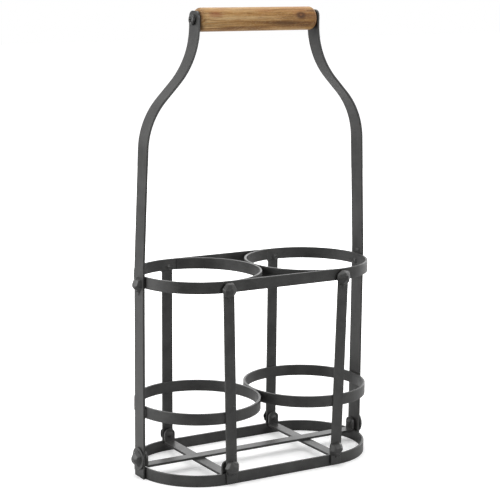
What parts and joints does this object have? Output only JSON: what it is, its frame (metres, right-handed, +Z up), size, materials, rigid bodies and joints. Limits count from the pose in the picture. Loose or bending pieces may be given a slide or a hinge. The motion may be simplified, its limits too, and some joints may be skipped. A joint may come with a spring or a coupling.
{
  "type": "bottle caddy",
  "caption": "Open caddy for two bottles, made of riveted flat iron bars, with a turned wooden carrying grip between its two end straps.",
  "frame": {"origin": "middle of the footprint, on the surface that the caddy stands on", "axes": "+X along the row of two bottles and the grip, to the right seen from the front; +Y to the back; +Z up"},
  "size_m": [0.2382, 0.1252, 0.398],
  "materials": {
    "painted_iron": "satin black, slightly mottled by hand",
    "grip_wood": "oiled, lengthwise grain",
    "screw_steel": "blackened, worn bright at the rim"
  },
  "bodies": {
    "cage": {"top_band": "painted_iron", "top_arc_left": "painted_iron", "top_arc_right": "painted_iron", "middle_ring_left": "painted_iron", "middle_ring_right": "painted_iron", "base_band": "painted_iron", "floor_bar_long": "painted_iron", "floor_bar_left": "painted_iron", "floor_bar_right": "painted_iron", "upright_front_left": "painted_iron", "upright_front_right": "painted_iron", "upright_back_left": "painted_iron", "upright_back_right": "painted_iron", "handle_strap_left": "painted_iron", "handle_strap_right": "painted_iron", "top_rivets": "painted_iron", "base_rivets": "painted_iron", "foot_rivets": "painted_iron", "foot_washers": "painted_iron"},
    "grip": {"grip": "grip_wood", "grip_screw_left": "screw_steel", "grip_screw_right": "screw_steel"}
  },
  "joints": [
    {"name": "grip_spin", "type": "hinge", "parent": "cage", "child": "grip", "pos_m": [0, 0, 0.388], "axis": [1, 0, 0], "continuous": true}
  ]
}
